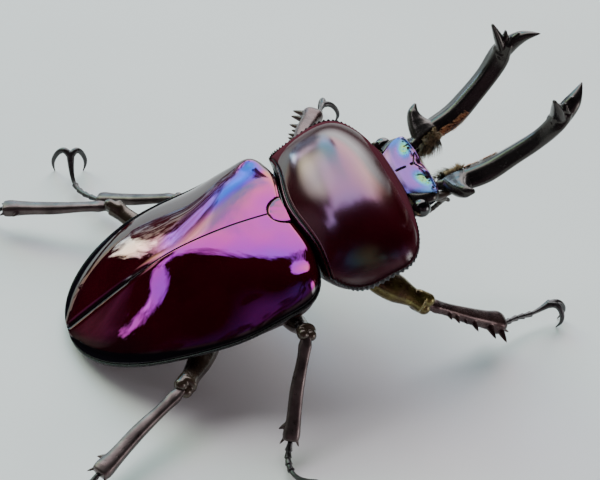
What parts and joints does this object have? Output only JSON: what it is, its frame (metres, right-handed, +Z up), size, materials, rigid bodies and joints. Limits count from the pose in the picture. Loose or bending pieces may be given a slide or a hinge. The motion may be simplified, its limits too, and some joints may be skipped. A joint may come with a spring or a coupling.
{
  "type": "rainbow stag beetle",
  "caption": "Life-size still model of a large male rainbow stag beetle, dark wine-red form, standing with its body pitched up, legs spread and long upturned forked jaws.",
  "frame": {"origin": "centre of the model's box at floor level, under the claws", "axes": "+X towards the head and jaws, +Y towards the beetle's left side, +Z up"},
  "size_m": [0.0774, 0.0668, 0.0351],
  "materials": {
    "elytra": "mirror-smooth shell, dark wine red with violet sheen",
    "pronotum": "satin shell, maroon with a soft pink sheen",
    "head": "finely pitted shell, lilac with green glints",
    "mandible": "polished black",
    "eye": "polished black",
    "underside": "dark brown shell",
    "femur": "bronze black shell",
    "tibia": "dark brown shell",
    "tarsus": "blue black shell",
    "feeler": "dull brown"
  },
  "bodies": {
    "root": {"elytron_left": "elytra", "elytron_right": "elytra", "scutellum": "elytra", "pronotum": "pronotum", "prosternum": "underside", "metathorax": "underside", "abdomen": "underside", "head": "head", "eye_left": "eye", "mandible_left": "mandible", "antenna_left": "feeler", "palp_left": "feeler", "eye_right": "eye", "mandible_right": "mandible", "antenna_right": "feeler", "palp_right": "feeler", "femur_front_left": "femur", "tibia_front_left": "tibia", "tarsus_front_left": "tarsus", "femur_front_right": "femur", "tibia_front_right": "tibia", "tarsus_front_right": "tarsus", "femur_middle_left": "femur", "tibia_middle_left": "tibia", "tarsus_middle_left": "tarsus", "femur_middle_right": "femur", "tibia_middle_right": "tibia", "tarsus_middle_right": "tarsus", "femur_hind_left": "femur", "tibia_hind_left": "tibia", "tarsus_hind_left": "tarsus", "femur_hind_right": "femur", "tibia_hind_right": "tibia", "tarsus_hind_right": "tarsus"}
  },
  "joints": []
}
